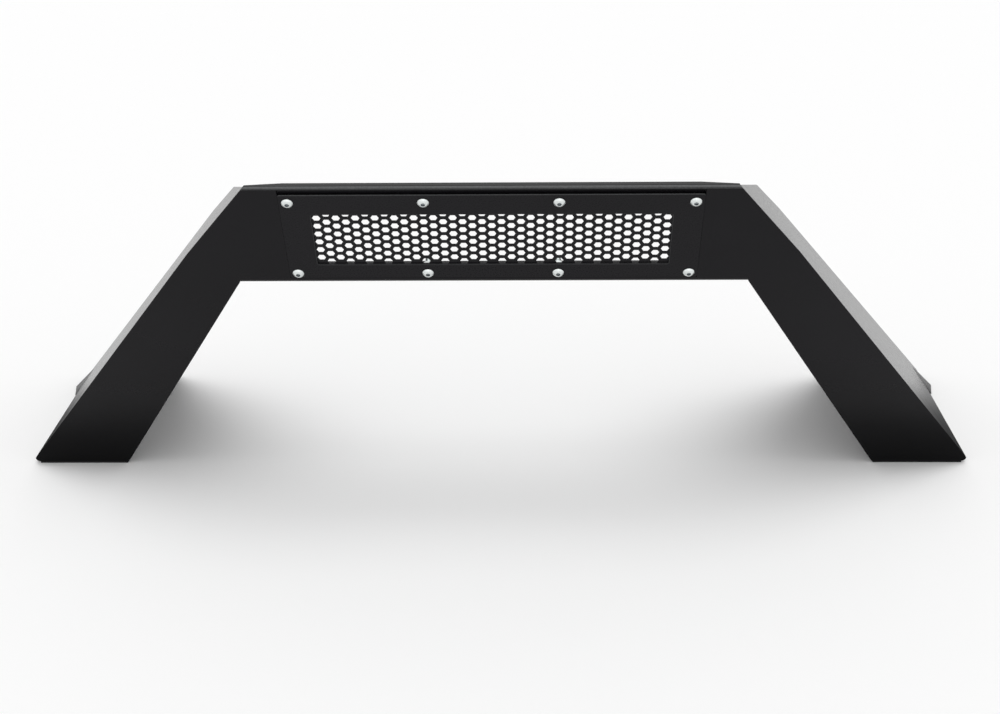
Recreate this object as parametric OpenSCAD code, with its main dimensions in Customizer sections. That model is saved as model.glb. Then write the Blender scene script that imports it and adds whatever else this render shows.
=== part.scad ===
// Headache rack for a pickup bed: a leaning sheet-steel arch on two box legs,
// with a bolted insert of perforated hexagon sheet in its crossbar.
// The front faces -Y, +X is to the right and +Z is up. The origin is on the bed
// rail's plane, in the middle of the rack.

/* [Overall] */
// Height from the bed rail to the top edge
rack_height = 600; // [560:5:640]
// Width over the outer edges of the two feet
rack_width = 1660; // [1600:4:1720]
// Lean of the front face from upright, in degrees
face_lean = 27; // [24:1:30]
// Thickness of the folded and welded sheet
sheet_t = 3; // [2.5:0.5:4]

/* [Crossbar] */
// Width of the crossbar's top edge
top_width = 723; // [710:1:740]
// Height of the crossbar, measured along its front face
bar_height = 203; // [202:1:210]
// Depth of the flange along the crossbar's top
top_flange = 21; // [20:1:26]
// Width of the top flange's tapered ends
flange_taper = 55; // [30:5:80]
// Depth of the flange along the crossbar's bottom
low_flange = 90; // [70:1:100]
// Outer radius of the top bend
top_bend_r = 4; // [3.5:0.5:5]
// Outer radius of the bottom bend
low_bend_r = 12; // [6:1:13]
// Diameter of the cable hole in each crossbar rib
rib_hole_d = 30; // [20:1:40]

/* [Legs] */
// Width over the knees, where the outer plates bend slightly
knee_width = 930; // [915:1:945]
// Distance of the knees from the top edge, along the face
knee_drop = 138.5; // [125:0.5:155]
// Width of the arch at its top
arch_top_width = 787; // [775:1:795]
// Width of the arch between the feet
arch_foot_width = 1316; // [1280:4:1340]
// Depth of the side plates at the foot
foot_depth = 392; // [370:2:410]
// Distance of the side plates' shoulder behind the top edge
shoulder_back = 230; // [215:1:245]
// Drop of the shoulder below the top edge
shoulder_drop = 68; // [55:1:80]
// Height of the upper rib inside each leg
upper_rib_z = 360; // [330:5:380]
// Height of the lower rib inside each leg
lower_rib_z = 180; // [150:5:220]
// Diameter of the cable hole in each leg rib
leg_hole_d = 20; // [14:1:22]

/* [Feet] */
// Thickness of the base plates
base_t = 8; // [6:1:12]
// How far the ear of a base plate stands out at the side
ear_w = 8; // [4:1:9]
// Height to which the ear is bent up along the outer plate
ear_h = 42; // [30:1:50]
// Length of that ear
ear_len = 84; // [70:2:90]
// Distance of the ear's middle behind the foot's front edge
ear_back = 330; // [320:5:340]
// Thickness of the rubber pads
pad_t = 3; // [2:0.5:5]
// Width of the mounting slots
slot_w = 13; // [11:0.5:15]
// End-to-end length of the mounting slots
slot_len = 28; // [20:1:34]
// Distance between the slots across the foot
slot_pitch_x = 90; // [80:1:100]
// Distance between the slots along the foot
slot_pitch_y = 240; // [220:5:260]
// Distance of the front slots behind the foot's front edge
slot_front = 75; // [60:1:85]
// Radius of the foot's outer bottom corner
foot_corner_r = 7; // [4:0.5:8]

/* [Insert] */
// Width of the insert's cover plate
cover_w = 626; // [620:1:633]
// Height of the cover plate
cover_h = 176; // [175:0.5:177]
// Distance of the cover's top edge from the top edge of the face
cover_drop = 17; // [16:0.5:17.5]
// Width of the cover's window
window_w = 536; // [500:1:540]
// Height of the cover's window
window_h = 106.5; // [95:0.5:107]
// Distance of the window's top from the top edge of the face
window_drop = 57.5; // [55:0.5:58]
// Clearance between the cover and the ends and bottom of the opening in the face
pocket_gap = 0.3; // [0.3:0.1:0.6]
// Distance of the opening's top from the top edge of the face
pocket_drop = 6.5; // [6.5:0.5:8]
// Thickness of the perforated sheet
mesh_t = 2; // [1.5:0.5:3]
// Distance between the hexagon holes
hex_pitch = 16.74; // [16:0.02:17]
// Width of a hexagon hole across its flats
hex_flats = 11.4; // [10:0.1:12]
// Distance of the middle hole of the pattern from the top edge of the face
hex_origin = 117.6; // [117:0.1:118.2]
// Distance between neighbouring insert bolts
bolt_pitch = 200; // [190:1:204]
// Distance of the upper bolts from the top edge of the face
bolt_drop = 32.5; // [32:0.5:34]
// Distance between the two bolt rows
bolt_rows = 150; // [148:0.5:150.5]

/* [Fasteners] */
// Thread diameter of the insert bolts
bolt_d = 10; // [8:1:10]
// Length of a bolt under its head
bolt_len = 30; // [25:1:35]
// Diameter of a button head
head_d = 17.5; // [16:0.5:18]
// Height of a button head
head_h = 5.5; // [4:0.5:6]
// Width of the hexagon socket across its flats
socket_flats = 6; // [5:0.5:6]
// Width of a nut across its flats
nut_flats = 16; // [15:0.5:17]
// Height of a nut
nut_h = 8; // [6:0.5:9]
// Outer diameter of a washer
washer_d = 20; // [19:0.5:24]
// Thickness of a washer
washer_t = 2; // [1:0.5:2]

/* [Hidden] */

left = -1;
right = 1;
powder_black = "#2b2d2f";
insert_black = "#26282a";
zinc_silver = "#c8cacb";
rubber_black = "#1b1b1c";

sin_l = sin(face_lean);
cos_l = cos(face_lean);
tan_l = tan(face_lean);

// Clearance past a face that a cutting solid needs
over = 5;
// Half-widths at the levels where the legs' outlines bend
top_x = top_width / 2;
knee_x = knee_width / 2;
foot_x = rack_width / 2;
arch_top_x = arch_top_width / 2;
arch_foot_x = arch_foot_width / 2;
// Heights of those levels
top_z = rack_height;
knee_z = rack_height - knee_drop * cos_l;
bar_z = rack_height - bar_height * cos_l;
foot_z = pad_t;

// The side view is drawn from the top front edge: y behind it, z above it.
// This gives the point at depth d behind the face and distance v down it.
function on_face(d, v) = [v * sin_l + d * cos_l, d * sin_l - v * cos_l];
// Height of the foot's underside in that view
low = foot_z - top_z;
// The foot's front edge, the shoulder and the heel of a side plate in that view
foot_y = -low * tan_l;
shoulder = [shoulder_back, -shoulder_drop];
heel = [foot_y + foot_depth, low];
rear_slope = (heel[0] - shoulder[0]) / (shoulder[1] - heel[1]);
// Foremost point of the rounded top bend, and the rack's rear end
front_reach = top_bend_r * (1 + sin_l) / cos_l - top_bend_r;
rear_reach = heel[0];
// Where the top front edge lies, so that the rack is centred on the origin
edge_y = -(front_reach + rear_reach) / 2;
foot_front_y = edge_y + foot_y;
face_step = sheet_t / cos_l;

// Sideways run of each leg outline per unit of height, and the sideways
// thickness of a unit of sheet there
upper_run = (knee_x - top_x) / (top_z - knee_z);
lower_run = (foot_x - knee_x) / (knee_z - foot_z);
mitre_run = (arch_top_x - top_x) / (top_z - bar_z);
inner_run = (arch_foot_x - arch_top_x) / (bar_z - foot_z);
function wide(run) = sqrt(1 + run * run);
// How far a bend in an outline moves down as the outline is offset by w
function bend_shift(w, run_a, run_b) = w * (wide(run_a) - wide(run_b)) / (run_a - run_b);

// Insert stack, as depths behind the face
cover_t = sheet_t;
mesh_d = cover_t;
rail_d = mesh_d + mesh_t;
rail_t = 3;
rail_depth = 20;
rail_edge = 15;
washer_at = rail_d + rail_t;
nut_at = washer_at + washer_t;
pocket_depth = washer_at + 1;
pocket_w = cover_w + 2 * pocket_gap;
pocket_low = cover_drop + cover_h + pocket_gap;
// The sheet laps the face at the ends and bottom, but stays clear of the slot at the top
mesh_lap = 8;
mesh_top = cover_drop + 4;
mesh_low = pocket_low + 1.5;
bolt_clear = 0.5;
corner_r = 3;
bolt_places = [for (i = [-1.5:1:1.5], v = [bolt_drop, bolt_drop + bolt_rows]) [i * bolt_pitch, -v]];

// Crossbar ribs stand just outside the opening in the face
rib_gap = 10;
rib_x = pocket_w / 2 + rib_gap;
rib_hole_at = [62, -115];
leg_rib_t = 4;
leg_rib_back = 40;
leg_hole_back = 150;
// How far the ear reaches into the leg
ear_root = 20;
cap_drop = sheet_t + 0.4;

// Extrudes a front view (x, z) along Y through the whole rack
module through_y() {
    reach = rear_reach + 2 * over;
    translate([0, edge_y + reach - over, 0]) rotate([90, 0, 0]) linear_extrude(reach) children();
}

// Extrudes a side view, drawn from the top front edge, from x0 to x1
module through_x(x0, x1) {
    translate([x0, edge_y, top_z]) rotate([90, 0, 90]) linear_extrude(x1 - x0) children();
}

// Stands its children on the front face: x across, y up the face, z out of it
module face_frame(depth) {
    translate([0, edge_y, top_z]) rotate([90 + face_lean, 0, 0]) translate([0, 0, -depth]) children();
}

module on_side(side) {
    if (side == right) children();
    if (side == left) mirror([1, 0, 0]) children();
}

// What a fillet removes between corner p, tangent points a and b, and centre c
module corner_cut(p, a, b, c, r) {
    difference() {
        polygon([p, a, c, b]);
        translate(c) circle(r, $fn = 64);
    }
}

module top_bend_cut() {
    c = [top_bend_r * (1 + sin_l) / cos_l, -top_bend_r];
    outside = [-1, 1];
    difference() {
        polygon([outside, [c[0], outside[1]], c, c - top_bend_r * [cos_l, sin_l] + outside]);
        translate(c) circle(top_bend_r, $fn = 64);
    }
}

module low_bend_cut() {
    v = bar_height - low_bend_r * (1 - sin_l) / cos_l;
    c = on_face(low_bend_r, v);
    corner_cut(on_face(0, bar_height), on_face(0, v), [c[0], bar_z - top_z], c, low_bend_r);
}

// Front view of one leg, right side
module leg_front() {
    r = foot_corner_r;
    thick = wide(lower_run);
    c = [foot_x - r * (lower_run + thick), foot_z + r];
    difference() {
        polygon([
            [top_x, top_z], [knee_x, knee_z], [foot_x, foot_z],
            [arch_foot_x, foot_z], [arch_top_x, bar_z]
        ]);
        corner_cut([foot_x, foot_z], [c[0], foot_z], c + r * [1, lower_run] / thick, c, r);
    }
}

// Band of width w along the inside of the leg's outer edge
module outer_band(w) {
    dz = bend_shift(w, upper_run, lower_run);
    knee_in = knee_x + upper_run * dz - w * wide(upper_run);
    polygon([
        [top_x, top_z], [knee_x, knee_z], [foot_x, foot_z],
        [foot_x - w * wide(lower_run), foot_z],
        [knee_in, knee_z - dz], [top_x - w * wide(upper_run), top_z]
    ]);
}

// Band of width w along the inside of the leg's inner edge
module inner_band(w) {
    dz = -bend_shift(w, mitre_run, inner_run);
    corner_in = arch_top_x + mitre_run * dz + w * wide(mitre_run);
    polygon([
        [top_x, top_z], [arch_top_x, bar_z], [arch_foot_x, foot_z],
        [arch_foot_x + w * wide(inner_run), foot_z],
        [corner_in, bar_z - dz], [top_x + w * wide(mitre_run), top_z]
    ]);
}

module leg_inside() {
    difference() {
        leg_front();
        outer_band(sheet_t);
        inner_band(sheet_t);
    }
}

// Side view of everything behind the face plates of a leg
module plate_side() {
    polygon([[face_step, 0], shoulder, heel, [face_step + foot_y, low]]);
}

module cap_side() {
    polygon([
        [face_step, 0], shoulder, shoulder + cap_drop * [rear_slope, -1],
        [face_step + cap_drop * tan_l, -cap_drop]
    ]);
}

module crossbar_channel() {
    v_low = bar_height - sheet_t * (1 - sin_l) / cos_l;
    v_top = sheet_t * (1 + sin_l) / cos_l;
    sole = bar_z - top_z;
    rear = bar_height * sin_l + low_flange;
    color(powder_black) difference() {
        intersection() {
            through_x(-arch_top_x, arch_top_x) difference() {
                polygon([
                    [0, 0], on_face(0, bar_height), [rear, sole], [rear, sole + sheet_t],
                    on_face(sheet_t, v_low), on_face(sheet_t, v_top),
                    [top_flange, -sheet_t], [top_flange, 0]
                ]);
                top_bend_cut();
                low_bend_cut();
            }
            through_y() polygon([
                [-top_x, top_z], [top_x, top_z], [arch_top_x, bar_z], [-arch_top_x, bar_z]
            ]);
        }
        // Opening for the insert
        face_frame(pocket_depth) linear_extrude(pocket_depth + over)
            translate([-pocket_w / 2, -pocket_low]) square([pocket_w, pocket_low - pocket_drop]);
        // Tapered ends of the top flange
        for (side = [left, right]) on_side(side)
            translate([0, edge_y, top_z - 2 * sheet_t]) linear_extrude(2 * sheet_t + over) polygon([
                [top_x - flange_taper, top_flange], [top_x + over, top_flange / 2],
                [top_x + over, top_flange + over], [top_x - flange_taper, top_flange + over]
            ]);
    }
}

module crossbar_rib(side) {
    rear = bar_height * sin_l + low_flange;
    sole = bar_z - top_z + sheet_t;
    inset = 8;
    color(powder_black) on_side(side) through_x(rib_x, rib_x + sheet_t) difference() {
        polygon([
            on_face(sheet_t, sheet_t * (1 + sin_l) / cos_l), [top_flange - inset, -sheet_t],
            [rear - inset, sole + inset], [rear - inset, sole],
            on_face(sheet_t, bar_height - sheet_t * (1 - sin_l) / cos_l)
        ]);
        low_bend_cut();
        translate(rib_hole_at) circle(d = rib_hole_d, $fn = 48);
    }
}

module rail_holes() {
    face_frame(pocket_depth + rail_depth) linear_extrude(pocket_depth + rail_depth)
        for (p = bolt_places) translate(p) circle(d = bolt_d + bolt_clear, $fn = 48);
}

// Angle behind the cover's top margin, welded under the top flange
module insert_rail_upper() {
    back = rail_d + rail_t;
    under = -sheet_t;
    v_front = (rail_d * sin_l - under) / cos_l;
    v_back = (back * sin_l - under + rail_t) / cos_l;
    color(powder_black) difference() {
        through_x(-rib_x, rib_x) polygon([
            on_face(rail_d, v_front), on_face(rail_d, bolt_drop + rail_edge),
            on_face(back, bolt_drop + rail_edge), on_face(back, v_back),
            [top_flange, under - rail_t], [top_flange, under]
        ]);
        rail_holes();
    }
}

// Angle behind the cover's bottom margin, welded on the bottom flange
module insert_rail_lower() {
    back = rail_d + rail_t;
    sole = bar_z - top_z + sheet_t;
    v_front = (rail_d * sin_l - sole) / cos_l;
    v_back = (back * sin_l - sole - rail_t) / cos_l;
    foot = on_face(back, v_back)[0] + rail_depth;
    v_edge = bolt_drop + bolt_rows - rail_edge;
    color(powder_black) difference() {
        through_x(-rib_x, rib_x) polygon([
            on_face(rail_d, v_front), on_face(rail_d, v_edge), on_face(back, v_edge),
            on_face(back, v_back), [foot, sole + rail_t], [foot, sole]
        ]);
        rail_holes();
    }
}

module rounded_plate(w, h, r) {
    union() {
        translate([-w / 2 + r, -h]) square([w - 2 * r, h]);
        translate([-w / 2, -h + r]) square([w, h - 2 * r]);
        for (x = [r - w / 2, w / 2 - r], y = [-r, r - h]) translate([x, y]) circle(r, $fn = 32);
    }
}

module insert_cover() {
    color(insert_black) face_frame(cover_t) linear_extrude(cover_t) difference() {
        translate([0, -cover_drop]) rounded_plate(cover_w, cover_h, corner_r);
        translate([0, -window_drop]) rounded_plate(window_w, window_h, corner_r);
        for (p = bolt_places) translate(p) circle(d = bolt_d + bolt_clear, $fn = 48);
    }
}

// Hexagons stand in columns; every second column is half a pitch lower
module mesh_sheet() {
    hex_r = hex_flats / sqrt(3);
    column_pitch = hex_pitch * sqrt(3) / 2;
    columns = floor((window_w / 2 - hex_r) / column_pitch);
    color(insert_black) face_frame(mesh_d + mesh_t) linear_extrude(mesh_t) difference() {
        translate([0, -mesh_top]) rounded_plate(pocket_w + 2 * mesh_lap, mesh_low - mesh_top, corner_r);
        for (i = [-columns:columns]) {
            odd = abs(i) % 2;
            for (j = [-3 - odd:2]) translate([i * column_pitch, -hex_origin - (j + odd / 2) * hex_pitch])
                circle(hex_r, $fn = 6);
        }
        for (p = bolt_places) translate(p) circle(d = bolt_d + bolt_clear, $fn = 48);
    }
}

module button_bolt() {
    rim_h = 1;
    cap_h = head_h - rim_h;
    dome_r = (head_d * head_d / 4 + cap_h * cap_h) / (2 * cap_h);
    socket_h = 3;
    translate([0, 0, -bolt_len]) cylinder(d = bolt_d, h = bolt_len, $fn = 48);
    difference() {
        union() {
            cylinder(d = head_d, h = rim_h, $fn = 64);
            translate([0, 0, rim_h]) intersection() {
                translate([0, 0, cap_h - dome_r]) sphere(dome_r, $fn = 64);
                cylinder(d = head_d, h = cap_h, $fn = 64);
            }
        }
        translate([0, 0, head_h - socket_h]) cylinder(d = socket_flats * 2 / sqrt(3), h = socket_h + 1, $fn = 6);
    }
}

module insert_bolts() {
    color(zinc_silver) face_frame(0) for (p = bolt_places) translate(p) button_bolt();
}

module insert_washers() {
    color(zinc_silver) face_frame(washer_at + washer_t) linear_extrude(washer_t)
        for (p = bolt_places) translate(p) difference() {
            circle(d = washer_d, $fn = 48);
            circle(d = bolt_d + bolt_clear, $fn = 48);
        }
}

module insert_nuts() {
    color(zinc_silver) face_frame(nut_at + nut_h) linear_extrude(nut_h)
        for (p = bolt_places) translate(p) difference() {
            circle(d = nut_flats * 2 / sqrt(3), $fn = 6);
            circle(d = bolt_d, $fn = 48);
        }
}

module leg_face(side) {
    color(powder_black) on_side(side) intersection() {
        through_y() leg_front();
        through_x(0, foot_x + over) difference() {
            polygon([[0, 0], [face_step, 0], [face_step + foot_y, low], [foot_y, low]]);
            top_bend_cut();
        }
    }
}

// The outer plate has a notch in its lower edge, where the base plate's ear comes through
module leg_outer(side) {
    color(powder_black) on_side(side) intersection() {
        through_y() intersection() {
            leg_front();
            outer_band(sheet_t);
        }
        through_x(0, foot_x + over) difference() {
            plate_side();
            translate([foot_y + ear_back - ear_len / 2, low - over]) square([ear_len, base_t + over]);
        }
    }
}

module leg_inner(side) {
    color(powder_black) on_side(side) intersection() {
        through_y() difference() {
            intersection() {
                leg_front();
                inner_band(sheet_t);
            }
            outer_band(sheet_t);
        }
        through_x(0, foot_x + over) plate_side();
    }
}

module leg_cap(side) {
    color(powder_black) on_side(side) intersection() {
        through_y() leg_inside();
        through_x(0, foot_x + over) cap_side();
    }
}

// Level rib across the inside of a leg, with a hole for a lamp's cable
module leg_rib(side, z) {
    rear = heel[0] - (z - foot_z) * rear_slope - leg_rib_back;
    hole_x = (foot_x + arch_foot_x - (lower_run + inner_run) * (z - foot_z)) / 2;
    color(powder_black) on_side(side) difference() {
        intersection() {
            through_y() leg_inside();
            through_x(0, foot_x + over) intersection() {
                plate_side();
                translate([0, z - top_z]) square([rear, leg_rib_t]);
            }
        }
        translate([hole_x, edge_y + rear - leg_hole_back, z - over])
            cylinder(d = leg_hole_d, h = leg_rib_t + 2 * over, $fn = 48);
    }
}

// Slots that run across the foot, centred on the bolt pattern
module mounting_slots() {
    run = (slot_len - slot_w) / 2;
    mid_x = (foot_x + arch_foot_x) / 2;
    for (x = [-0.5, 0.5], y = [0, 1])
        translate([mid_x + x * slot_pitch_x, foot_front_y + slot_front + y * slot_pitch_y, -over])
            linear_extrude(base_t + pad_t + 2 * over) {
                for (e = [-run, run]) translate([e, 0]) circle(d = slot_w, $fn = 48);
                square([2 * run, slot_w], center = true);
            }
}

// The ear comes through the notch and is upset against the outer plate: it swells to a crest
// behind its front end and tapers off again, so that both of its ends lie flush.
module ear() {
    lip = 2;
    proud = 0.4;
    flat = base_t - 0.5;
    crest = 0.44 * ear_len;
    run = lower_run * flat;
    front_y = foot_front_y + ear_back - ear_len / 2;
    translate([foot_x, front_y, foot_z]) {
        translate([0, ear_len, 0]) rotate([90, 0, 0]) linear_extrude(ear_len) polygon([
            [-ear_root, 0], [proud, 0], [proud - run, flat], [-ear_root, flat]
        ]);
        polyhedron(
            [
                [0, 0, 0], [ear_w, crest, 0], [ear_w, crest, lip],
                [-lower_run * ear_h, crest, ear_h], [0, ear_len, 0]
            ],
            [[0, 1, 4], [0, 4, 3], [0, 2, 1], [0, 3, 2], [4, 1, 2], [4, 2, 3]]
        );
    }
}

// The plate lies between the leg's plates, and its ear stands out at the side
module base_plate(side) {
    color(powder_black) on_side(side) difference() {
        union() {
            intersection() {
                through_y() leg_inside();
                through_x(0, foot_x + over) polygon([
                    [face_step + foot_y, low], heel, heel + base_t * [-rear_slope, 1],
                    [face_step + foot_y - base_t * tan_l, low + base_t]
                ]);
            }
            ear();
        }
        mounting_slots();
    }
}

module rail_pad(side) {
    inset = 2;
    edge_x = foot_x - 2 * foot_corner_r;
    color(rubber_black) on_side(side) difference() {
        translate([arch_foot_x + inset, foot_front_y, 0])
            cube([edge_x - arch_foot_x - inset, foot_depth - inset, pad_t]);
        mounting_slots();
    }
}

crossbar_channel();
crossbar_rib(left);  // crossbar_rib_left
crossbar_rib(right);  // crossbar_rib_right
insert_rail_upper();
insert_rail_lower();
insert_cover();
mesh_sheet();
insert_bolts();
insert_washers();
insert_nuts();
leg_face(left);  // leg_face_left
leg_face(right);  // leg_face_right
leg_outer(left);  // leg_outer_left
leg_outer(right);  // leg_outer_right
leg_inner(left);  // leg_inner_left
leg_inner(right);  // leg_inner_right
leg_cap(left);  // leg_cap_left
leg_cap(right);  // leg_cap_right
leg_rib(left, upper_rib_z);  // leg_rib_upper_left
leg_rib(right, upper_rib_z);  // leg_rib_upper_right
leg_rib(left, lower_rib_z);  // leg_rib_lower_left
leg_rib(right, lower_rib_z);  // leg_rib_lower_right
base_plate(left);  // base_plate_left
base_plate(right);  // base_plate_right
rail_pad(left);  // rail_pad_left
rail_pad(right);  // rail_pad_right
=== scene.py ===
import math

import bmesh
import bpy
from mathutils import Matrix, Vector
from mathutils.bvhtree import BVHTree


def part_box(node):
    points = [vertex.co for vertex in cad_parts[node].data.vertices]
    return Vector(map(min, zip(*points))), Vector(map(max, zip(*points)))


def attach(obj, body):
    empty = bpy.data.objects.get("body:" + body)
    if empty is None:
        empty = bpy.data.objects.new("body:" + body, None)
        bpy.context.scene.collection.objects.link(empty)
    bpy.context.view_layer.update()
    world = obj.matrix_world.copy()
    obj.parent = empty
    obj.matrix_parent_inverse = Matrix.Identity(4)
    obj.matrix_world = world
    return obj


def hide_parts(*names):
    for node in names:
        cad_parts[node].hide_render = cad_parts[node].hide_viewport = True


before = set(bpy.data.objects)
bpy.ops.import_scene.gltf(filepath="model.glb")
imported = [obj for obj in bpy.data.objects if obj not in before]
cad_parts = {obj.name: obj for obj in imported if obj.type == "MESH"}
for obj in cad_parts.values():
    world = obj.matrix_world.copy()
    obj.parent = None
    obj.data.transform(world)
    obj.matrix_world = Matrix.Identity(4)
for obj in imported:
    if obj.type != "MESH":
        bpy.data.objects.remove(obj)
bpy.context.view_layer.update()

mm = 0.001

overall = {
    "height": 600 * mm,       # bed rail to top edge
    "lean": math.radians(27),  # front face from upright
}
# The rack is centred between its heels and the bend of its top edge, and the face starts
# at the sharp edge that the bend rounds off.
bendRadius = 4 * mm
bendInset = bendRadius * (1 + math.sin(overall["lean"])) / math.cos(overall["lean"]) - bendRadius
edgeY = -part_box("leg_inner_left")[1].y - bendInset


# Seen from the front and a little above: metres, radians, and millimetres for the lens
cameraView = {
    "place": (0.05778, -2.56270, 1.26566),
    "aim": (0.00367, 0.0, 0.18416),
    "roll": -0.0102,
    "lens": 57.091,
    "sensor": 36,
}


def makeCamera():
    data = bpy.data.cameras.new("rackCamera")
    data.sensor_width = cameraView["sensor"]
    data.lens = cameraView["lens"]
    camera = bpy.data.objects.new("rackCamera", data)
    bpy.context.scene.collection.objects.link(camera)
    place = Vector(cameraView["place"])
    ahead = (Vector(cameraView["aim"]) - place).normalized()
    level = ahead.cross(Vector((0, 0, 1))).normalized()
    across = math.cos(cameraView["roll"]) * level + math.sin(cameraView["roll"]) * level.cross(ahead)
    turn = Matrix((across, across.cross(ahead), -ahead)).transposed().to_4x4()
    turn.translation = place
    camera.matrix_world = turn
    bpy.context.scene.camera = camera


makeCamera()
print("camera set")


def addNode(tree, kind, inputs=None, **settings):
    # One node with its settings; each input gets a value, or a link where it is given a socket
    node = tree.nodes.new(kind)
    for name, value in settings.items():
        setattr(node, name, value)
    for key, value in (inputs or {}).items():
        if isinstance(value, bpy.types.NodeSocket):
            tree.links.new(value, node.inputs[key])
        else:
            node.inputs[key].default_value = value
    return node


def hexColour(text):
    # sRGB hex value to linear
    parts = [int(text[i:i + 2], 16) / 255 for i in (1, 3, 5)]
    return tuple(p / 12.92 if p <= 0.04045 else ((p + 0.055) / 1.055) ** 2.4 for p in parts) + (1,)


def newMaterial(name):
    material = bpy.data.materials.new(name)
    material.use_nodes = True
    tree = material.node_tree
    spot = addNode(tree, "ShaderNodeTexCoord").outputs["Object"]
    return material, tree, tree.nodes["Principled BSDF"], spot


# White studio with wide, even lamps
studio = {
    # each lamp: strength, the place that it shines from, and how wide it looks in degrees
    "overhead": (0.90, (0.15, -0.45, 2.0), 45),
    "left": (0.42, (-1.4, -2.1, 1.6), 90),
    "right": (0.46, (1.6, -1.9, 1.6), 90),
    "worldLevel": 0.595,
    "floorHalf": 40.0,
    "floorColour": "#fbfbfb",
}


def addLamp(name):
    strength, place, width = studio[name]
    data = bpy.data.lights.new(name + "Lamp", "SUN")
    data.energy = strength
    data.angle = math.radians(width)
    lamp = bpy.data.objects.new(name + "Lamp", data)
    bpy.context.scene.collection.objects.link(lamp)
    lamp.rotation_euler = (-Vector(place)).to_track_quat("-Z", "Y").to_euler()


def seenRay(tree):
    # 1 for camera, glossy and transmission rays, which see the white backdrop
    path = addNode(tree, "ShaderNodeLightPath")
    first = addNode(tree, "ShaderNodeMath", {
        0: path.outputs["Is Camera Ray"], 1: path.outputs["Is Glossy Ray"]}, operation="MAXIMUM")
    both = addNode(tree, "ShaderNodeMath", {
        0: first.outputs[0], 1: path.outputs["Is Transmission Ray"]}, operation="MAXIMUM")
    return both.outputs[0]


def makeWorld():
    world = bpy.data.worlds.new("studioWorld")
    bpy.context.scene.world = world
    world.use_nodes = True
    tree = world.node_tree
    level = addNode(tree, "ShaderNodeMapRange", {
        "Value": seenRay(tree), "To Min": studio["worldLevel"], "To Max": 1.0})
    background = tree.nodes["Background"]
    background.inputs["Color"].default_value = (1, 1, 1, 1)
    tree.links.new(level.outputs[0], background.inputs["Strength"])


def makeFloor():
    half = studio["floorHalf"]
    mesh = bpy.data.meshes.new("studioFloor")
    corners = [(-half, -half, 0), (half, -half, 0), (half, half, 0), (-half, half, 0)]
    mesh.from_pydata(corners, [], [(0, 1, 2, 3)])
    floor = bpy.data.objects.new("studioFloor", mesh)
    bpy.context.scene.collection.objects.link(floor)
    # Matt painted studio floor: white and even, it takes the soft shadow
    material, _, shader, _ = newMaterial("matt studio paint")
    shader.inputs["Base Color"].default_value = hexColour(studio["floorColour"])
    shader.inputs["Roughness"].default_value = 1.0
    shader.inputs["Specular IOR Level"].default_value = 0.0
    mesh.materials.append(material)


for lampName in ("overhead", "left", "right"):
    addLamp(lampName)
makeWorld()
makeFloor()
bpy.context.scene.view_settings.view_transform = "Standard"
print("studio set")


# Finishes, each named for its real coat or metal
powder = {
    # the pale colour is for worn edges and for painted highlight on the top fold and the cover's upper
    # edges; the darkest one is painted shade low down
    "dark": "#0f0e10", "light": "#161518", "worn": "#58595a", "lowShade": "#0b0b0c",
    "peel": 7 * mm,      # orange peel is about 2 mm apart, drawn coarser so that it shows
    "grain": 2.2 * mm,   # texture grains of 0.3 mm, drawn coarser so that they show
    "cloud": 160 * mm,   # slow change of film thickness
    "peelHeight": 0.05 * mm, "peelBump": 0.5,
    "grainShare": 0.3,   # of the peel's height
    "grainLow": 0.3, "grainHigh": 0.7,       # the noise seldom leaves this range
    "smooth": 0.16, "rough": 0.26,           # roughness between the grains and on them
    "patchyLow": 0.55, "patchyHigh": 0.8,    # how much of the wear and painted highlight shows between the grains and on them
    "gloss": 0.115, "dustyGloss": 0.03, "level": 0.93,   # dust settles on faces that look up
    # painted shade darkens the coat low down and at the front, where it is also rougher: the slant that it
    # fades along, where it starts and where it is full, and how ragged its border is
    "slant": (0.0, 0.39, 0.92), "lowShadeStart": 153 * mm, "lowShadeFull": 12 * mm, "ragged": 30 * mm,
    "lowShadeRough": 0.95,
}


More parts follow.
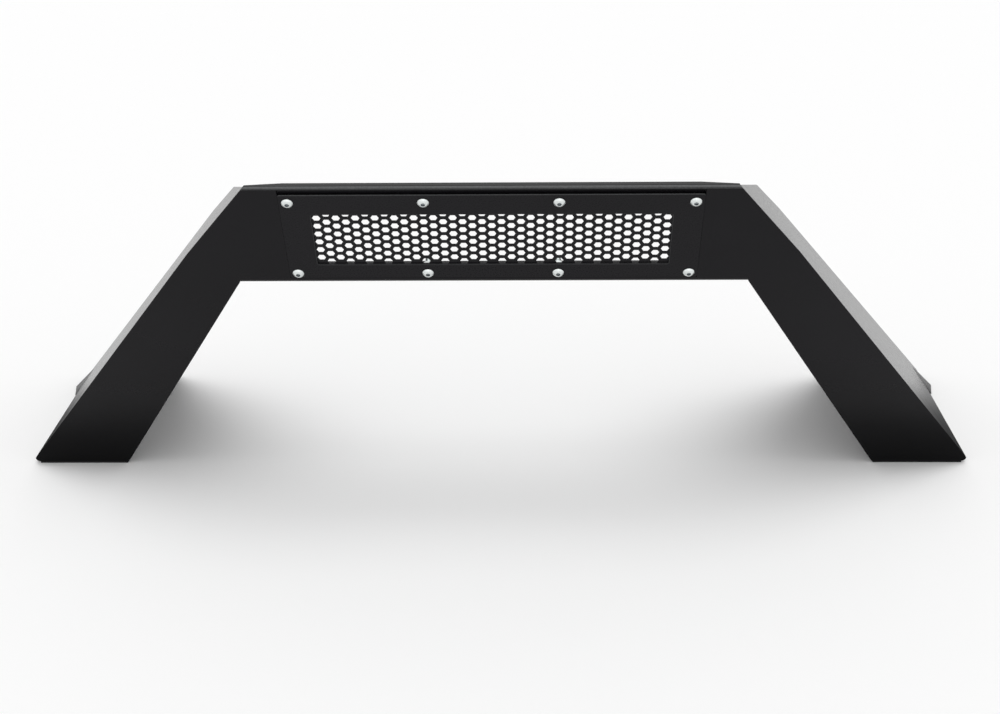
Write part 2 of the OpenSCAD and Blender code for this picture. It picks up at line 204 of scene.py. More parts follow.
def powderCoat(name, settings):
    # Satin polyester powder coat, sprayed and baked on steel: near-black with a slow cloud of
    # tone, a fine orange peel that breaks its reflections, a paler film that is wear on its edges and
    # painted highlight on its top fold, and painted shade low down
    material, tree, shader, spot = newMaterial(name)
    cloud = addNode(tree, "ShaderNodeTexNoise", {
        "Vector": spot, "Scale": 1 / settings["cloud"], "Detail": 3.0})
    peel = addNode(tree, "ShaderNodeTexNoise", {
        "Vector": spot, "Scale": 1 / settings["peel"], "Detail": 2.0})
    grain = addNode(tree, "ShaderNodeTexNoise", {
        "Vector": spot, "Scale": 1 / settings["grain"], "Detail": 1.0})
    tone = addNode(tree, "ShaderNodeMix", {
        0: cloud.outputs["Fac"], 6: hexColour(settings["dark"]), 7: hexColour(settings["light"])},
        data_type="RGBA")
    # pale where the attribute says: worn edges, and painted highlight on the top fold and the cover's
    # upper edges
    edge = addNode(tree, "ShaderNodeAttribute", attribute_name="edgeWearAndHighlight")
    patchy = addNode(tree, "ShaderNodeMapRange", {
        "Value": grain.outputs["Fac"], "From Min": settings["grainLow"], "From Max": settings["grainHigh"],
        "To Min": settings["patchyLow"], "To Max": settings["patchyHigh"]})
    wearAndHighlightShare = addNode(tree, "ShaderNodeMath", {0: edge.outputs["Fac"], 1: patchy.outputs[0]},
                     operation="MULTIPLY")
    worn = addNode(tree, "ShaderNodeMix", {
        0: wearAndHighlightShare.outputs[0], 6: tone.outputs[2], 7: hexColour(settings["worn"])}, data_type="RGBA")
    # painted shade along the slant: darker and rougher towards the bed
    along = addNode(tree, "ShaderNodeVectorMath", {0: spot, 1: settings["slant"]},
                    operation="DOT_PRODUCT")
    ragged = addNode(tree, "ShaderNodeMath", {
        0: cloud.outputs["Fac"], 1: settings["ragged"], 2: along.outputs["Value"]},
        operation="MULTIPLY_ADD")
    lowShadeMask = addNode(tree, "ShaderNodeMapRange", {
        "Value": ragged.outputs[0], "From Min": settings["lowShadeStart"], "From Max": settings["lowShadeFull"]},
        interpolation_type="SMOOTHSTEP")
    # painted shade low down in the base colour
    colour = addNode(tree, "ShaderNodeMix", {
        0: lowShadeMask.outputs[0], 6: worn.outputs[2], 7: hexColour(settings["lowShade"])}, data_type="RGBA")
    tree.links.new(colour.outputs[2], shader.inputs["Base Color"])
    shine = addNode(tree, "ShaderNodeMapRange", {
        "Value": grain.outputs["Fac"], "From Min": settings["grainLow"], "From Max": settings["grainHigh"],
        "To Min": settings["smooth"], "To Max": settings["rough"]})
    dulled = addNode(tree, "ShaderNodeMix", {
        0: lowShadeMask.outputs[0], 2: shine.outputs[0], 3: settings["lowShadeRough"]}, data_type="FLOAT")
    tree.links.new(dulled.outputs[0], shader.inputs["Roughness"])
    relief = addNode(tree, "ShaderNodeMath", {
        0: grain.outputs["Fac"], 1: settings["grainShare"], 2: peel.outputs["Fac"]},
        operation="MULTIPLY_ADD")
    bump = addNode(tree, "ShaderNodeBump", {
        "Height": relief.outputs[0], "Strength": settings["peelBump"],
        "Distance": settings["peelHeight"]})
    tree.links.new(bump.outputs[0], shader.inputs["Normal"])
    facing = addNode(tree, "ShaderNodeNewGeometry")
    upward = addNode(tree, "ShaderNodeSeparateXYZ", {0: facing.outputs["True Normal"]})
    dusty = addNode(tree, "ShaderNodeMapRange", {
        "Value": upward.outputs["Z"], "From Min": settings["level"],
        "To Min": settings["gloss"], "To Max": settings["dustyGloss"]})
    tree.links.new(dusty.outputs[0], shader.inputs["Specular IOR Level"])
    return material


zinc = {
    "bright": "#eceff0", "dull": "#b9c0c4", "tint": "#dfe3df", "grime": "#8f9497",
    "spangle": 3 * mm,   # plating clouds
    "brush": 0.7 * mm,   # forming marks
    "smooth": 0.20, "rough": 0.36,
    "bump": 0.25, "bumpHeight": 0.02 * mm,
}


def zincPlate():
    # Blue-passivated zinc plating on cold-headed steel: bright silver with faint cloudy dulling,
    # and painted shade in the sockets
    material, tree, shader, spot = newMaterial("bright zinc plated steel")
    cloud = addNode(tree, "ShaderNodeTexNoise", {
        "Vector": spot, "Scale": 1 / zinc["spangle"], "Detail": 3.0})
    fine = addNode(tree, "ShaderNodeTexNoise", {
        "Vector": spot, "Scale": 1 / zinc["brush"], "Detail": 2.0})
    tone = addNode(tree, "ShaderNodeMix", {
        0: cloud.outputs["Fac"], 6: hexColour(zinc["bright"]), 7: hexColour(zinc["dull"])},
        data_type="RGBA")
    tinted = addNode(tree, "ShaderNodeMix", {
        0: fine.outputs["Fac"], 6: tone.outputs[2], 7: hexColour(zinc["tint"])}, data_type="RGBA")
    # painted shade down in the sockets, where their walls hide the light
    grime = addNode(tree, "ShaderNodeAttribute", attribute_name="grime")
    socketShaded = addNode(tree, "ShaderNodeMix", {
        0: grime.outputs["Fac"], 6: tinted.outputs[2], 7: hexColour(zinc["grime"])}, data_type="RGBA")
    tree.links.new(socketShaded.outputs[2], shader.inputs["Base Color"])
    shine = addNode(tree, "ShaderNodeMapRange", {
        "Value": fine.outputs["Fac"], "To Min": zinc["smooth"], "To Max": zinc["rough"]})
    tree.links.new(shine.outputs[0], shader.inputs["Roughness"])
    bump = addNode(tree, "ShaderNodeBump", {
        "Height": fine.outputs["Fac"], "Strength": zinc["bump"], "Distance": zinc["bumpHeight"]})
    tree.links.new(bump.outputs[0], shader.inputs["Normal"])
    shader.inputs["Metallic"].default_value = 1.0
    return material


rubber = {
    "dark": "#131314", "light": "#1f1f20",
    "pebble": 1.5 * mm, "bloom": 40 * mm,
    "smooth": 0.72, "rough": 0.9, "gloss": 0.3,
    "bump": 0.4, "bumpHeight": 0.1 * mm,
}


def epdmRubber():
    # Moulded EPDM sheet: matt, with a fine pebble and a slight grey bloom
    material, tree, shader, spot = newMaterial("moulded EPDM rubber")
    pebble = addNode(tree, "ShaderNodeTexVoronoi", {"Vector": spot, "Scale": 1 / rubber["pebble"]})
    bloom = addNode(tree, "ShaderNodeTexNoise", {
        "Vector": spot, "Scale": 1 / rubber["bloom"], "Detail": 4.0})
    tone = addNode(tree, "ShaderNodeMix", {
        0: bloom.outputs["Fac"], 6: hexColour(rubber["dark"]), 7: hexColour(rubber["light"])},
        data_type="RGBA")
    tree.links.new(tone.outputs[2], shader.inputs["Base Color"])
    dull = addNode(tree, "ShaderNodeMapRange", {
        "Value": bloom.outputs["Fac"], "To Min": rubber["smooth"], "To Max": rubber["rough"]})
    tree.links.new(dull.outputs[0], shader.inputs["Roughness"])
    bump = addNode(tree, "ShaderNodeBump", {
        "Height": pebble.outputs["Distance"], "Strength": rubber["bump"],
        "Distance": rubber["bumpHeight"]})
    tree.links.new(bump.outputs[0], shader.inputs["Normal"])
    shader.inputs["Specular IOR Level"].default_value = rubber["gloss"]
    return material


weldFinish = dict(powder, peel=3 * mm, peelHeight=0.12 * mm, smooth=0.24, rough=0.36)
insertFinish = dict(powder, dark="#131214", light="#19181b", smooth=0.24, rough=0.36)
coat = powderCoat("satin black powder coat", powder)
insertCoat = powderCoat("fine matt black powder coat", insertFinish)
weldCoat = powderCoat("powder coated weld bead", weldFinish)
zincSteel = zincPlate()
padRubber = epdmRubber()
print("materials made")


# Plates are taken from the frame and given soft edges
plateStyle = {
    "join": 0.002 * mm, "flat": math.radians(0.3),   # closer points are one, smaller turns are flat
    "edge": 0.6 * mm,       # rounding that the coat leaves on a cut edge
    "lip": 1.1 * mm,        # the cover's edge is filed rounder
    "edgeSteps": 3,
    "sharp": math.radians(30), "knife": math.radians(125),   # only turns between them are rounded
    "touch": 0.05 * mm,     # closer than this, an edge lies in a welded joint
    "fitTouch": 0.7 * mm,   # the cover's close fit in its opening keeps its edges crisp
    "mostTouch": 0.5,       # share of an edge that may lie in a joint before it stays sharp
    "samples": 9,
}
# The top fold gets a painted highlight where the bend would catch the light: the faces on it are told by
# how they slope
fold = {"reach": 5 * mm, "lipReach": 30 * mm, "low": 0.1, "high": 0.9, "cut": 0.8,
        "wear": 1.3, "cutHighlight": 0.3, "lipHighlight": 1.0, "edgeWearAndHighlight": 0.35}
plates = {
    "crossbarChannel": ("crossbar_channel", coat, "powder_coat"),
    "crossbarRibLeft": ("crossbar_rib_left", coat, "powder_coat"),
    "crossbarRibRight": ("crossbar_rib_right", coat, "powder_coat"),
    "insertRailUpper": ("insert_rail_upper", coat, "powder_coat"),
    "insertRailLower": ("insert_rail_lower", coat, "powder_coat"),
    "insertCover": ("insert_cover", insertCoat, "insert_coat"),
}
legParts = ("leg_face", "leg_outer", "leg_inner", "leg_cap", "leg_rib_upper", "leg_rib_lower",
            "base_plate")
for side in ("left", "right"):
    for part in legParts:
        words = part.split("_") + [side]
        pieceName = words[0] + "".join(word.title() for word in words[1:])
        plates[pieceName] = (part + "_" + side, coat, "powder_coat")
    plates["railPad" + side.title()] = ("rail_pad_" + side, padRubber, "rubber")


def mergedCopy(node):
    # The frame's mesh is loose triangles: join them, then drop the lines inside flat faces
    work = bmesh.new()
    work.from_mesh(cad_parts[node].data)
    bmesh.ops.remove_doubles(work, verts=work.verts, dist=plateStyle["join"])
    bmesh.ops.dissolve_limit(work, angle_limit=plateStyle["flat"], verts=work.verts, edges=work.edges)
    return work


surfaces = {}
for nodeName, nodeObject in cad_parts.items():
    shell = bmesh.new()
    shell.from_mesh(nodeObject.data)
    surfaces[nodeName] = BVHTree.FromBMesh(shell)
    shell.free()


def touching(edge, others, reach):
    # Share of the edge that lies on another plate
    a, b = (v.co for v in edge.verts)
    count = plateStyle["samples"]
    hits = 0
    for i in range(count):
        point = a.lerp(b, (i + 0.5) / count)
        hits += any(surfaces[o].find_nearest(point, reach)[0] is not None for o in others)
    return hits / count


def bakeMesh(source, name):
    # The evaluated result as a plain mesh on a new object at the origin
    graph = bpy.context.evaluated_depsgraph_get()
    mesh = bpy.data.meshes.new_from_object(source.evaluated_get(graph))
    old = source.data
    bpy.data.objects.remove(source)
    if old.users == 0:
        bpy.data.meshes.remove(old)
    mesh.name = name
    made = bpy.data.objects.new(name, mesh)
    bpy.context.scene.collection.objects.link(made)
    return made


def placeHolder(name, mesh):
    made = bpy.data.objects.new(name + "Work", mesh)
    bpy.context.scene.collection.objects.link(made)
    return made


def finishPiece(piece, material, slotName, *nodes):
    piece.data.materials.clear()
    piece.data.materials.append(material)
    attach(piece, "root")
    if nodes:
        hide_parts(*nodes)


def wearAndHighlightOf(polygon, node):
    # How pale a face's coat is painted: painted highlight on the top fold most, then on the cover's edges
    # that look up; other bevelled edges are worn pale
    slope, soft = polygon.normal.z, polygon.material_index
    folded = polygon.center.z > overall["height"] - fold["reach"] and fold["low"] < slope < fold["high"]
    if folded and polygon.normal.y < 0:
        return fold["wear"]
    # painted highlight on the cover's upward cut edges and its upper lip
    if node == "insert_cover" and slope > fold["cut"]:
        return fold["cutHighlight"]
    if node == "insert_cover" and soft and slope > fold["low"]:
        upper = polygon.center.z > overall["height"] - fold["lipReach"]
        return fold["lipHighlight"] if upper else fold["cutHighlight"]
    return fold["edgeWearAndHighlight"] * soft


def softPlate(name, node, material, slotName, edgeWidth):
    work = mergedCopy(node)
    others = [o for o in surfaces if o != node]
    reach = plateStyle["fitTouch" if node in ("crossbar_channel", "insert_cover") else "touch"]
    weights = work.edges.layers.float.new("bevel_weight_edge")
    for edge in work.edges:
        turn = edge.calc_face_angle(0)
        if turn > plateStyle["sharp"]:
            edge.smooth = False
            if turn < plateStyle["knife"] and touching(edge, others, reach) <= plateStyle["mostTouch"]:
                edge[weights] = 1.0
    for face in work.faces:
        face.smooth = True
    mesh = bpy.data.meshes.new(name)
    work.to_mesh(mesh)
    work.free()
    # the second slot marks the faces that the bevel makes
    mesh.materials.append(material)
    mesh.materials.append(material)
    holder = placeHolder(name, mesh)
    bevel = holder.modifiers.new("softEdge", "BEVEL")
    bevel.limit_method = "WEIGHT"
    bevel.width = edgeWidth
    bevel.segments = plateStyle["edgeSteps"]
    bevel.use_clamp_overlap = False
    bevel.material = 1
    holder.modifiers.new("evenNormals", "WEIGHTED_NORMAL").keep_sharp = True
    piece = bakeMesh(holder, name)
    # the bevel stays inside the node's own box
    low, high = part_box(node)
    for vertex in piece.data.vertices:
        vertex.co = [min(max(c, a), b) for c, a, b in zip(vertex.co, low, high)]
    # each face's paleness: wear on bevelled edges, painted highlight on the fold and the cover's upper
    # edges
    values = [wearAndHighlightOf(polygon, node) for polygon in piece.data.polygons]
    for polygon in piece.data.polygons:
        polygon.material_index = 0
    piece.data.attributes.new("edgeWearAndHighlight", "FLOAT", "FACE").data.foreach_set("value", values)
    finishPiece(piece, material, slotName, node)


for pieceName, (nodeName, material, slotName) in plates.items():
    edgeWidth = plateStyle["lip" if nodeName == "insert_cover" else "edge"]
    softPlate(pieceName, nodeName, material, slotName, edgeWidth)
print("plates softened:", len(plates))


def newTree(name, sockets):
    # A geometry tree with named inputs, and the outputs of its input node
    tree = bpy.data.node_groups.new(name, "GeometryNodeTree")
    tree.interface.new_socket("Geometry", in_out="INPUT", socket_type="NodeSocketGeometry")
    tree.interface.new_socket("Geometry", in_out="OUTPUT", socket_type="NodeSocketGeometry")
    for label, kind in sockets:
        tree.interface.new_socket(label, in_out="INPUT", socket_type="NodeSocket" + kind)
    return tree, addNode(tree, "NodeGroupInput").outputs


def runTree(holder, tree, values):
    # A modifier's inputs are set by their identifiers
    modifier = holder.modifiers.new(tree.name, "NODES")
    modifier.node_group = tree
    for item in tree.interface.items_tree:
        if item.item_type == "SOCKET" and item.in_out == "INPUT" and item.name in values:
            modifier[item.identifier] = values[item.name]


# Stitch welds in the inside corners
weld = {
    "width": 5 * mm,          # of a bead across its corner
    "ripple": 2.4 * mm,       # step between the frozen pools
    "run": 42 * mm, "gap": 58 * mm,   # stitches along a long joint
    "slack": 0.5,             # of a gap, which one more stitch may do without
    "shortest": 24 * mm,      # joint that is welded
    "sided": 0.7,             # least cosine between a face and the way that the welded side looks
    "seated": 0.85,           # least share of the joint that lies on the other plate
    "segments": 8, "rings": 5, "flatten": 0.62,   # a frozen pool
    "jitter": 0.12, "seed": 11,
}
# Each joint: the plate whose edges lie on the other one, and the way that its welded side faces
behindFace = Vector((0, math.cos(overall["lean"]), math.sin(overall["lean"])))
legWalls = ("leg_outer", "leg_inner", "leg_face")
joints = [("insert_rail_" + row, "crossbar_channel", behindFace) for row in ("lower", "upper")]
for side, outward in (("left", Vector((-1, 0, 0))), ("right", Vector((1, 0, 0)))):
    joints.append(("crossbar_rib_" + side, "crossbar_channel", outward))
    joints.append(("leg_inner_" + side, "leg_face_" + side, outward))
    joints.append(("leg_outer_" + side, "leg_face_" + side, -outward))
    for part in ("leg_rib_upper", "leg_rib_lower", "base_plate"):
        # the base plate comes through the outer wall, so it is welded to the other two
        for wall in legWalls[1:] if part == "base_plate" else legWalls:
            joints.append((part + "_" + side, wall + "_" + side, Vector((0, 0, 1))))


def jointLines(node, other, facing):
    # Long edges of the plate's welded side that lie on the other one's surface
    work = mergedCopy(node)
    found = []
    for edge in work.edges:
        sided = any(face.normal.dot(facing) > weld["sided"] for face in edge.link_faces)
        cornered = edge.calc_face_angle(0) > plateStyle["sharp"]
        if sided and cornered and edge.calc_length() > weld["shortest"]:
            if touching(edge, [other], plateStyle["touch"]) > weld["seated"]:
                found.append([v.co.copy() for v in edge.verts])
    work.free()
    return found


def stitched(lines):
    # Stitches along each joint, evenly set out from its middle
    runs = []
    for a, b in lines:
        length = (b - a).length
        step = weld["run"] + weld["gap"]
        count = max(1, int((length + weld["gap"] * weld["slack"]) / step))
        margin = (length - count * step + weld["gap"]) / 2
        for i in range(count):
            start = max(margin + i * step, weld["width"])
            end = min(start + weld["run"], length - weld["width"])
            runs.append((a.lerp(b, start / length), a.lerp(b, end / length)))
    return runs


def beadTree():
    tree, given = newTree("weldBeads", [
        ("Ripple", "Float"), ("Width", "Float"), ("Segments", "Int"), ("Rings", "Int"),
        ("Pool Shape", "Vector"), ("Least", "Float"), ("Most", "Float"), ("Seed", "Int"),
        ("Finish", "Material")])
    curve = addNode(tree, "GeometryNodeMeshToCurve", {"Mesh": given["Geometry"]})
    steps = addNode(tree, "GeometryNodeResampleCurve", {
        "Curve": curve.outputs[0], "Length": given["Ripple"]}, mode="LENGTH")
    half = addNode(tree, "ShaderNodeMath", {0: given["Width"], 1: 0.5}, operation="MULTIPLY")
    pool = addNode(tree, "GeometryNodeMeshUVSphere", {
        "Segments": given["Segments"], "Rings": given["Rings"], "Radius": half.outputs[0]})
    flat = addNode(tree, "GeometryNodeTransform", {
        "Geometry": pool.outputs[0], "Scale": given["Pool Shape"]})
    tangent = addNode(tree, "GeometryNodeInputTangent")
    turn = addNode(tree, "FunctionNodeAlignRotationToVector", {"Vector": tangent.outputs[0]}, axis="Z")
    size = addNode(tree, "FunctionNodeRandomValue", {
        2: given["Least"], 3: given["Most"], "Seed": given["Seed"]}, data_type="FLOAT")
    beads = addNode(tree, "GeometryNodeInstanceOnPoints", {
        "Points": steps.outputs[0], "Instance": flat.outputs[0], "Rotation": turn.outputs[0],
        "Scale": size.outputs[1]})
    solid = addNode(tree, "GeometryNodeRealizeInstances", {0: beads.outputs[0]})
    smooth = addNode(tree, "GeometryNodeSetShadeSmooth", {"Geometry": solid.outputs[0]})
    coated = addNode(tree, "GeometryNodeSetMaterial", {
        "Geometry": smooth.outputs[0], "Material": given["Finish"]})
    addNode(tree, "NodeGroupOutput", {0: coated.outputs[0]})
    return tree


def makeWelds():
    points, lines = [], []
    for node, other, facing in joints:
        for a, b in stitched(jointLines(node, other, facing)):
            lines.append((len(points), len(points) + 1))
            points += [a, b]
    path = bpy.data.meshes.new("weldPath")
    path.from_pydata(points, lines, [])
    holder = placeHolder("weldBeads", path)
    runTree(holder, beadTree(), {
        "Ripple": weld["ripple"], "Width": weld["width"],
        "Segments": weld["segments"], "Rings": weld["rings"], "Pool Shape": (1.0, 1.0, weld["flatten"]),
        "Least": 1 - weld["jitter"], "Most": 1 + weld["jitter"], "Seed": weld["seed"],
        "Finish": weldCoat})
    piece = bakeMesh(holder, "weldBeads")
    finishPiece(piece, weldCoat, "powder_coat")
    print("weld stitches:", len(lines))


makeWelds()


# Bolts, nuts and washers are skins over rings of points
ringStyle = {"join": 0.001 * mm, "sliver": 0.0005 * mm}


def ringMesh(name, rings, closedLoop=False):
    # Rings of equally many points joined to a skin; a ring of one point closes an end
    vertices, faces, starts = [], [], []
    for ring in rings:
        starts.append(len(vertices))
        vertices.extend(ring)
    pairs = list(zip(range(len(rings) - 1), range(1, len(rings))))
    if closedLoop:
        pairs.append((len(rings) - 1, 0))
    for lower, upper in pairs:
        a, b = starts[lower], starts[upper]
        countA, countB = len(rings[lower]), len(rings[upper])
        count = max(countA, countB)
        for i in range(count):
            j = (i + 1) % count
            if countA == 1:
                faces.append((a, b + j, b + i))
            elif countB == 1:
                faces.append((a + i, a + j, b))
            else:
                faces.append((a + i, a + j, b + j, b + i))
    mesh = bpy.data.meshes.new(name)
    mesh.from_pydata(vertices, [], faces)
    work = bmesh.new()
    work.from_mesh(mesh)
    bmesh.ops.remove_doubles(work, verts=work.verts, dist=ringStyle["join"])
    bmesh.ops.dissolve_degenerate(work, edges=work.edges, dist=ringStyle["sliver"])
    bmesh.ops.recalc_face_normals(work, faces=work.faces)
    for face in work.faces:
        face.smooth = True
    for edge in work.edges:
        if len(edge.link_faces) == 2 and edge.calc_face_angle() > plateStyle["sharp"]:
            edge.smooth = False
    work.to_mesh(mesh)
    work.free()
    return mesh


def roundRing(radius, z, count):
    return [(radius * math.cos(t), radius * math.sin(t), z)
            for t in (2 * math.pi * i / count for i in range(count))]


def hexRadius(angle, flats):
    # Distance from a hexagon's middle to its outline, with a corner at angle 0
    sixth = math.pi / 3
    return flats / 2 / math.cos((angle % sixth) - sixth / 2)


bolt = {
    "columns": 4, "rows": 2, "pitch": 200 * mm, "rowDistance": 150 * mm,
    "drop": 32.5 * mm,          # upper row below the face's top edge
    "headWidth": 17.5 * mm, "headHeight": 5.5 * mm,
    "rim": 1 * mm,              # straight side of the head, below its crown
    "footIn": 0.3 * mm, "footUp": 0.25 * mm,       # bevel under the head
    "flat": 3.9 * mm,           # radius where the crown ends, round the socket
    "crownSteps": 7,
    "socket": 6 * mm, "socketDepth": 3 * mm,
    "socketOut": 0.2 * mm, "socketBevel": 0.25 * mm,
    "socketPoint": 1.2 * mm,    # cone at the socket's bottom
    "socketShadeReach": 0.56,         # painted shade reaches this share of the socket's width, from its middle
    "thread": 10 * mm, "threadPitch": 1.5 * mm, "threadDepth": 0.9 * mm,
    "plain": 2 * mm, "threadStart": 2.05 * mm,     # below the head
    # shares of a pitch at which the root ends, and the crest starts and ends
    "rootEnd": 0.12, "crestStart": 0.5, "crestEnd": 0.62,
    "length": 30 * mm, "tip": 1.2 * mm,
    "around": 48, "seed": 4, "turn": math.pi / 3,
}


def headRings():
    # From under the head, over its crown and down into the socket
    count = bolt["around"]
    half, rim, top = bolt["headWidth"] / 2, bolt["rim"], bolt["headHeight"]
    crown = top - rim
    domeRadius = (half * half + crown * crown) / (2 * crown)
    middle = top - domeRadius
    rings = [roundRing(half - bolt["footIn"], 0, count), roundRing(half, bolt["footUp"], count),
             roundRing(half, rim, count)]
    steps = bolt["crownSteps"]
    for i in range(1, steps + 1):
        r = half + (bolt["flat"] - half) * i / steps
        rings.append(roundRing(r, middle + math.sqrt(domeRadius ** 2 - r * r), count))
    flatZ = rings[-1][0][2]
    floorZ = flatZ - bolt["socketDepth"]
    for grow, z in ((bolt["socketOut"], flatZ), (0, flatZ - bolt["socketBevel"]), (0, floorZ)):
        ring = []
        for i in range(count):
            t = 2 * math.pi * i / count
            r = hexRadius(t, bolt["socket"]) + grow
            ring.append((r * math.cos(t), r * math.sin(t), z))
        rings.append(ring)
    rings.append([(0, 0, floorZ - bolt["socketPoint"])])
    return rings


def shankRings():
    # Under the head the shank is a helix of thread down to a chamfered tip
    count = bolt["around"]
    major = bolt["thread"] / 2
    minor = major - bolt["threadDepth"]
    tipZ = -bolt["length"]
    profile = ((0.0, minor), (bolt["rootEnd"], minor),
               (bolt["crestStart"], major), (bolt["crestEnd"], major))
    turns = int(bolt["length"] / bolt["threadPitch"]) + 2   # the last ones run out at the tip
    rings = [roundRing(major, 0, count), roundRing(major, -bolt["plain"], count)]
    for turn in range(1, turns):
        for phase, radius in profile:
            ring = []
            for i in range(count):
                t = 2 * math.pi * i / count
                r = radius
                z = min(-bolt["threadPitch"] * (turn + phase + i / count), -bolt["threadStart"])
                if z < tipZ + bolt["tip"]:
                    z = max(z, tipZ)
                    r = min(r, major - (tipZ + bolt["tip"] - z))
                ring.append((r * math.cos(t), r * math.sin(t), z))
            rings.append(ring)
    rings.append([(0, 0, tipZ)])
    return rings


def boltMesh():
    mesh = ringMesh("boltShape", headRings()[::-1] + shankRings())
    # faces down in the socket carry the painted shade
    reach = bolt["socket"] * bolt["socketShadeReach"]
    shadedFaces = [float(p.center.z > 0 and math.hypot(p.center.x, p.center.y) < reach)
             for p in mesh.polygons]
    mesh.attributes.new("grime", "FLOAT", "FACE").data.foreach_set("value", shadedFaces)
    return mesh


nut = {
    "flats": 16 * mm, "height": 8 * mm, "bore": 10 * mm,
    "chamfer": 15.2 * mm, "chamferSlope": math.radians(30),
    "boreBevel": 0.5 * mm,
    "around": 48,
}


def nutMesh():
    count, height, bevel = nut["around"], nut["height"], nut["boreBevel"]
    bore, flatRadius = nut["bore"] / 2, nut["chamfer"] / 2
    slope = math.tan(nut["chamferSlope"])

    def hexRing(atTop):
        # the chamfer runs down toward the corners
        ring = []
        for i in range(count):
            t = 2 * math.pi * i / count
            r = hexRadius(t, nut["flats"])
            down = (r - flatRadius) * slope
            ring.append((r * math.cos(t), r * math.sin(t), height - down if atTop else down))
        return ring

    rings = [
        roundRing(bore, bevel, count), roundRing(bore + bevel, 0, count),
        roundRing(flatRadius, 0, count), hexRing(False),
        hexRing(True), roundRing(flatRadius, height, count),
        roundRing(bore + bevel, height, count), roundRing(bore, height - bevel, count),
    ]
    return ringMesh("nutShape", rings, closedLoop=True)


washer = {
    "outer": 20 * mm, "inner": 10.5 * mm, "thick": 2 * mm,
    "edge": 0.35 * mm, "roll": 0.3,   # the edge's rounding, and how far in its middle lies
    "around": 48,
}


def washerMesh():
    # Punched washer: rolled edge on one side, sharper on the other
    inner, outer = washer["inner"] / 2, washer["outer"] / 2
    thick, edge, count = washer["thick"], washer["edge"], washer["around"]
    rolled = edge * washer["roll"]
    outline = [(inner, edge / 2), (inner + edge / 2, 0), (outer - edge, 0), (outer - rolled, rolled),
               (outer, edge), (outer, thick - edge / 2), (outer - edge / 2, thick),
               (inner + edge, thick), (inner, thick - edge)]
    return ringMesh("washerShape", [roundRing(r, z, count) for r, z in outline], closedLoop=True)


def fastenerTree():
    # Sets out bolts, washers and nuts alike, each turned at random
    tree, given = newTree("fastenerPattern", [
        ("Shape", "Object"), ("Columns", "Int"), ("Rows", "Int"), ("Pitch", "Float"),
        ("Row Distance", "Float"), ("Middle", "Vector"), ("Most Turn", "Float"), ("Seed", "Int"),
        ("Place", "Vector"), ("Turn", "Vector"), ("Finish", "Material")])
    gaps = addNode(tree, "ShaderNodeMath", {0: given["Columns"], 1: 1.0}, operation="SUBTRACT")
    width = addNode(tree, "ShaderNodeMath", {0: gaps.outputs[0], 1: given["Pitch"]},
                    operation="MULTIPLY")
    grid = addNode(tree, "GeometryNodeMeshGrid", {
        "Size X": width.outputs[0], "Size Y": given["Row Distance"],
        "Vertices X": given["Columns"], "Vertices Y": given["Rows"]})
    points = addNode(tree, "GeometryNodeMeshToPoints", {"Mesh": grid.outputs[0]})
    shape = addNode(tree, "GeometryNodeObjectInfo", {"Object": given["Shape"]})
    spin = addNode(tree, "FunctionNodeRandomValue", {3: given["Most Turn"], "Seed": given["Seed"]},
                   data_type="FLOAT")
    turn = addNode(tree, "ShaderNodeCombineXYZ", {"Z": spin.outputs[1]})
    placed = addNode(tree, "GeometryNodeInstanceOnPoints", {
        "Points": points.outputs[0], "Instance": shape.outputs["Geometry"],
        "Rotation": turn.outputs[0]})
    onFace = addNode(tree, "GeometryNodeTransform", {
        "Geometry": placed.outputs[0], "Translation": given["Middle"]})
    inPlace = addNode(tree, "GeometryNodeTransform", {
        "Geometry": onFace.outputs[0], "Translation": given["Place"], "Rotation": given["Turn"]})
    solid = addNode(tree, "GeometryNodeRealizeInstances", {0: inPlace.outputs[0]})
    coated = addNode(tree, "GeometryNodeSetMaterial", {
        "Geometry": solid.outputs[0], "Material": given["Finish"]})
    addNode(tree, "NodeGroupOutput", {0: coated.outputs[0]})
    return tree


# The face's own frame: its top edge, and the lean
facePlace = (0.0, edgeY, overall["height"])
faceTurn = (math.pi / 2 + overall["lean"], 0.0, 0.0)
stack = {"washer": 10 * mm, "nut": 18 * mm}   # depth of each one's far side behind the cover's front


def setFasteners(name, node, shapeMesh, depth, seed, tree):
    shape = bpy.data.objects.new(name + "Shape", shapeMesh)
    bpy.context.scene.collection.objects.link(shape)
    holder = placeHolder(name, bpy.data.meshes.new(name + "Holder"))
    runTree(holder, tree, {
        "Shape": shape, "Columns": bolt["columns"], "Rows": bolt["rows"], "Pitch": bolt["pitch"],
        "Row Distance": bolt["rowDistance"],
        "Middle": (0.0, -bolt["drop"] - bolt["rowDistance"] / 2, -depth),
        "Most Turn": bolt["turn"], "Seed": seed,
        "Place": facePlace, "Turn": faceTurn, "Finish": zincSteel})
    piece = bakeMesh(holder, name)
    bpy.data.objects.remove(shape)
    finishPiece(piece, zincSteel, "zinc", node)


pattern = fastenerTree()
setFasteners("insertBolts", "insert_bolts", boltMesh(), 0.0, bolt["seed"], pattern)
setFasteners("insertWashers", "insert_washers", washerMesh(), stack["washer"], bolt["seed"] + 1, pattern)
setFasteners("insertNuts", "insert_nuts", nutMesh(), stack["nut"], bolt["seed"] + 2, pattern)
print("fasteners set")


# Sheet punched with staggered hexagons, behind the cover's window
lattice = {
    "pitch": 16.74 * mm, "flats": 11.4 * mm, "thick": 2 * mm,
    "halfColumns": 18,      # on each side of the middle one
    "evenRows": 6, "oddRows": 7,
    "origin": 117.6 * mm,   # middle hole below the face's top edge
    "depth": 3 * mm,        # behind the cover's front
    "lap": 8 * mm, "top": 21 * mm, "low": 194.8 * mm, "opening": 626.6 * mm,
    "edge": 0.25 * mm,
}


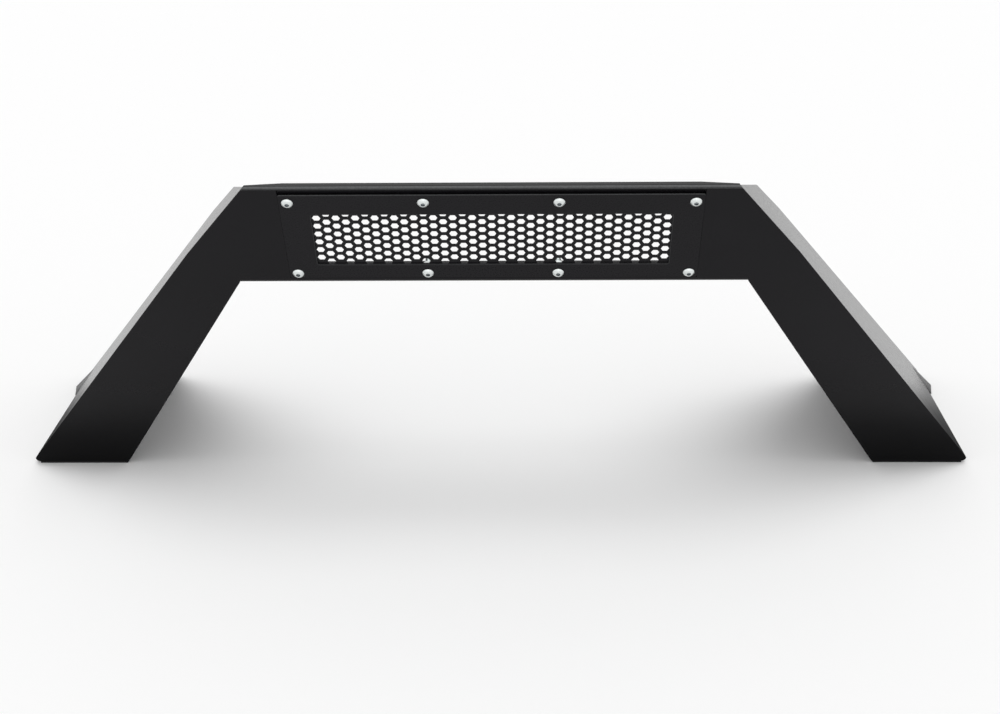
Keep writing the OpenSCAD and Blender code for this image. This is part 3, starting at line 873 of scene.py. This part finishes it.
def latticeTree():
    tree, given = newTree("perforatedSheet", [
        ("Width", "Float"), ("Height", "Float"), ("Thickness", "Float"), ("Sheet Middle", "Vector"),
        ("Column Step", "Float"), ("Pitch", "Float"), ("Hole Radius", "Float"),
        ("Even Columns", "Int"), ("Odd Columns", "Int"), ("Even Rows", "Int"), ("Odd Rows", "Int"),
        ("Holes Middle", "Vector"), ("Place", "Vector"), ("Turn", "Vector"), ("Finish", "Material")])
    size = addNode(tree, "ShaderNodeCombineXYZ", {
        0: given["Width"], 1: given["Height"], 2: given["Thickness"]})
    block = addNode(tree, "GeometryNodeMeshCube", {"Size": size.outputs[0]})
    sheet = addNode(tree, "GeometryNodeTransform", {
        "Geometry": block.outputs[0], "Translation": given["Sheet Middle"]})
    # the punch is three times as deep as the sheet is thick
    deep = addNode(tree, "ShaderNodeMath", {0: given["Thickness"], 1: 3.0}, operation="MULTIPLY")
    punch = addNode(tree, "GeometryNodeMeshCylinder", {
        "Vertices": 6, "Radius": given["Hole Radius"], "Depth": deep.outputs[0]})
    # the columns of one kind are two steps apart, with the other kind's between them
    step = addNode(tree, "ShaderNodeMath", {0: given["Column Step"], 1: 2.0}, operation="MULTIPLY")
    joined = addNode(tree, "GeometryNodeJoinGeometry")
    for kind in ("Even", "Odd"):
        columns, rows = given[kind + " Columns"], given[kind + " Rows"]
        gaps = addNode(tree, "ShaderNodeMath", {0: columns, 1: 1.0}, operation="SUBTRACT")
        wide = addNode(tree, "ShaderNodeMath", {0: gaps.outputs[0], 1: step.outputs[0]},
                       operation="MULTIPLY")
        drops = addNode(tree, "ShaderNodeMath", {0: rows, 1: 1.0}, operation="SUBTRACT")
        high = addNode(tree, "ShaderNodeMath", {0: drops.outputs[0], 1: given["Pitch"]},
                       operation="MULTIPLY")
        grid = addNode(tree, "GeometryNodeMeshGrid", {
            "Size X": wide.outputs[0], "Size Y": high.outputs[0],
            "Vertices X": columns, "Vertices Y": rows})
        points = addNode(tree, "GeometryNodeMeshToPoints", {"Mesh": grid.outputs[0]})
        holes = addNode(tree, "GeometryNodeInstanceOnPoints", {
            "Points": points.outputs[0], "Instance": punch.outputs[0]})
        moved = addNode(tree, "GeometryNodeTransform", {
            "Geometry": holes.outputs[0], "Translation": given["Holes Middle"]})
        tree.links.new(moved.outputs[0], joined.inputs[0])
    punches = addNode(tree, "GeometryNodeRealizeInstances", {0: joined.outputs[0]})
    cut = addNode(tree, "GeometryNodeMeshBoolean", {0: sheet.outputs[0], 1: punches.outputs[0]},
                  operation="DIFFERENCE", solver="EXACT")
    inPlace = addNode(tree, "GeometryNodeTransform", {
        "Geometry": cut.outputs[0], "Translation": given["Place"], "Rotation": given["Turn"]})
    solid = addNode(tree, "GeometryNodeRealizeInstances", {0: inPlace.outputs[0]})
    coated = addNode(tree, "GeometryNodeSetMaterial", {
        "Geometry": solid.outputs[0], "Material": given["Finish"]})
    addNode(tree, "NodeGroupOutput", {0: coated.outputs[0]})
    return tree


def makeLattice():
    depth = lattice["depth"] + lattice["thick"] / 2
    half = lattice["halfColumns"]
    height = lattice["low"] - lattice["top"]
    holder = placeHolder("meshSheet", bpy.data.meshes.new("meshSheetHolder"))
    runTree(holder, latticeTree(), {
        "Width": lattice["opening"] + 2 * lattice["lap"], "Height": height,
        "Thickness": lattice["thick"], "Sheet Middle": (0.0, -lattice["top"] - height / 2, -depth),
        "Column Step": lattice["pitch"] * math.sqrt(3) / 2, "Pitch": lattice["pitch"],
        "Hole Radius": lattice["flats"] / math.sqrt(3),
        "Even Columns": half + 1, "Odd Columns": half,
        "Even Rows": lattice["evenRows"], "Odd Rows": lattice["oddRows"],
        "Holes Middle": (0.0, -lattice["origin"] + lattice["pitch"] / 2, -depth),
        "Place": facePlace, "Turn": faceTurn, "Finish": insertCoat})
    bevel = holder.modifiers.new("softEdge", "BEVEL")
    bevel.limit_method = "ANGLE"
    bevel.angle_limit = plateStyle["sharp"]
    bevel.width = lattice["edge"]
    bevel.segments = 1
    piece = bakeMesh(holder, "meshSheet")
    finishPiece(piece, insertCoat, "insert_coat", "mesh_sheet")


makeLattice()
print("perforated sheet made")
